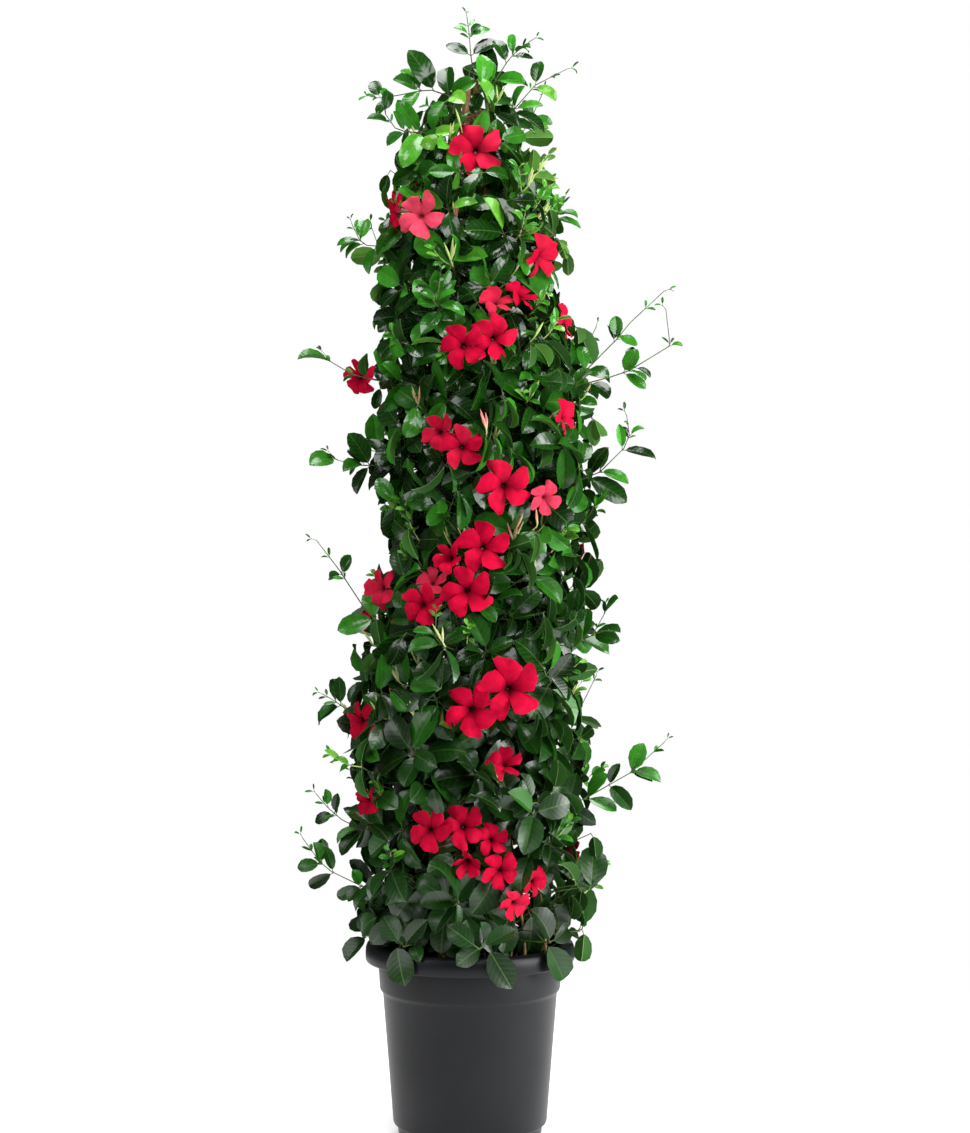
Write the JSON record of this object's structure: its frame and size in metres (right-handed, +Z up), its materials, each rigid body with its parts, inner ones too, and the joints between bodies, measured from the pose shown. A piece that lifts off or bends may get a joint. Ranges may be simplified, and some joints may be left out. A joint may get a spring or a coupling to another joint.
{
  "type": "potted mandevilla",
  "caption": "Tall red-flowered mandevilla twining up canes in a round dark nursery pot, with glossy leaves, stray shoots and five-petalled blooms all round.",
  "frame": {"origin": "middle of the pot's flat base, on the surface it stands on", "axes": "+Z up, along the canes and the crown; -Y is the side with most open flowers; +X is to the right seen from that side"},
  "size_m": [0.5471, 0.4042, 1.6139],
  "materials": {
    "pot": "moulded black-grey polypropylene, matt",
    "soil": "damp peat and bark compost",
    "cane": "dry bamboo, satin skin",
    "twine": "twisted jute twine",
    "foliage": "glossy living leaf and green stem",
    "petal": "soft satin petal"
  },
  "bodies": {
    "root": {"pot": "pot", "soil": "soil", "tie": "twine", "cane_1": "cane", "cane_2": "cane", "cane_3": "cane", "vine_1": "foliage", "vine_2": "foliage", "vine_3": "foliage", "vine_4": "foliage", "vine_5": "foliage", "vine_6": "foliage", "bloom_1": "petal", "bloom_2": "petal", "bloom_3": "petal", "bloom_4": "petal", "bloom_5": "petal", "bloom_6": "petal", "bloom_7": "petal", "bloom_8": "petal", "bloom_9": "petal", "bloom_10": "petal", "bloom_11": "petal", "bloom_12": "petal", "bloom_13": "petal", "bloom_14": "petal", "bloom_15": "petal", "bloom_16": "petal", "bloom_17": "petal", "bloom_18": "petal", "bloom_19": "petal", "bloom_20": "petal", "bloom_21": "petal", "bloom_22": "petal", "bloom_23": "petal", "bloom_24": "petal", "bloom_25": "petal", "bloom_26": "petal", "bloom_27": "petal", "bloom_28": "petal", "bloom_29": "petal", "bloom_30": "petal", "bloom_31": "petal", "bloom_32": "petal", "bloom_33": "petal", "bloom_34": "petal", "bloom_35": "petal", "bloom_36": "petal", "bloom_37": "petal", "bloom_38": "petal", "bloom_39": "petal", "bloom_40": "petal", "bloom_41": "petal", "bloom_42": "petal", "bloom_43": "petal", "bloom_44": "petal", "bloom_45": "petal", "bloom_46": "petal"}
  },
  "joints": []
}
